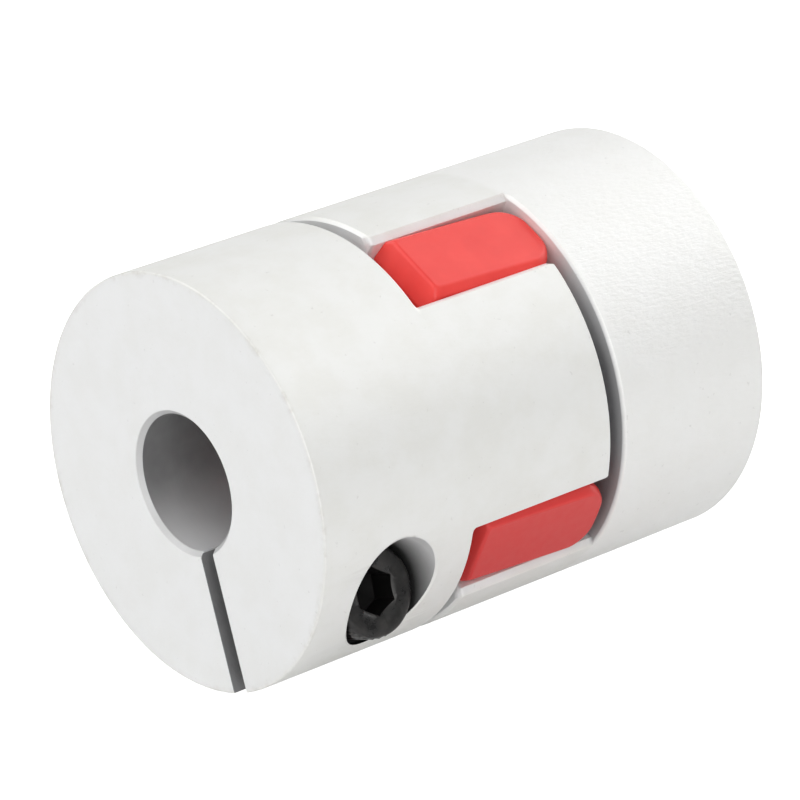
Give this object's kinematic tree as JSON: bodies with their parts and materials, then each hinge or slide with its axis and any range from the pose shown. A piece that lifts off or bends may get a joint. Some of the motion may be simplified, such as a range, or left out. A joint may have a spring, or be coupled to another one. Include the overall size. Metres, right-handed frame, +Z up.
{
  "type": "clamp-type jaw coupling",
  "caption": "Flexible shaft coupling: clamp hubs with interlocking jaws drive each other through an elastomer spider, each hub pinched on its shaft by a socket-head screw across a slit.",
  "frame": {"origin": "centre of the front hub's bore at its end face, where the driving shaft enters", "axes": "+X along the coupling axis from the front hub to the rear hub, +Z up with the coupling lying on its side and clocked as pictured"},
  "size_m": [0.034, 0.0255, 0.025],
  "materials": {
    "hub_aluminium": "fine-blasted natural anodised, satin",
    "spider_polyurethane": "moulded polyurethane, satin",
    "screw_steel": "black oxide, satin"
  },
  "bodies": {
    "front_hub": {"front_hub": "hub_aluminium"},
    "front_clamp_screw": {"front_clamp_screw": "screw_steel"},
    "spider": {"spider": "spider_polyurethane"},
    "rear_hub": {"rear_hub": "hub_aluminium"},
    "rear_clamp_screw": {"rear_clamp_screw": "screw_steel"}
  },
  "joints": [
    {"name": "spider_twist", "type": "hinge", "parent": "front_hub", "child": "spider", "pos_m": [0.017, 0, 0], "axis": [1, 0, 0], "range_deg": [-0.7, 0.7]},
    {"name": "rear_hub_slide", "type": "slide", "parent": "spider", "child": "rear_hub", "axis": [1, 0, 0], "range_m": [0, 0.012]},
    {"name": "front_screw_travel", "type": "slide", "parent": "front_hub", "child": "front_clamp_screw", "axis": [0, -0.9367, 0.3502], "range_m": [0, 0.015]},
    {"name": "rear_screw_travel", "type": "slide", "parent": "rear_hub", "child": "rear_clamp_screw", "axis": [0, 0.4115, 0.9114], "range_m": [0, 0.015]}
  ]
}
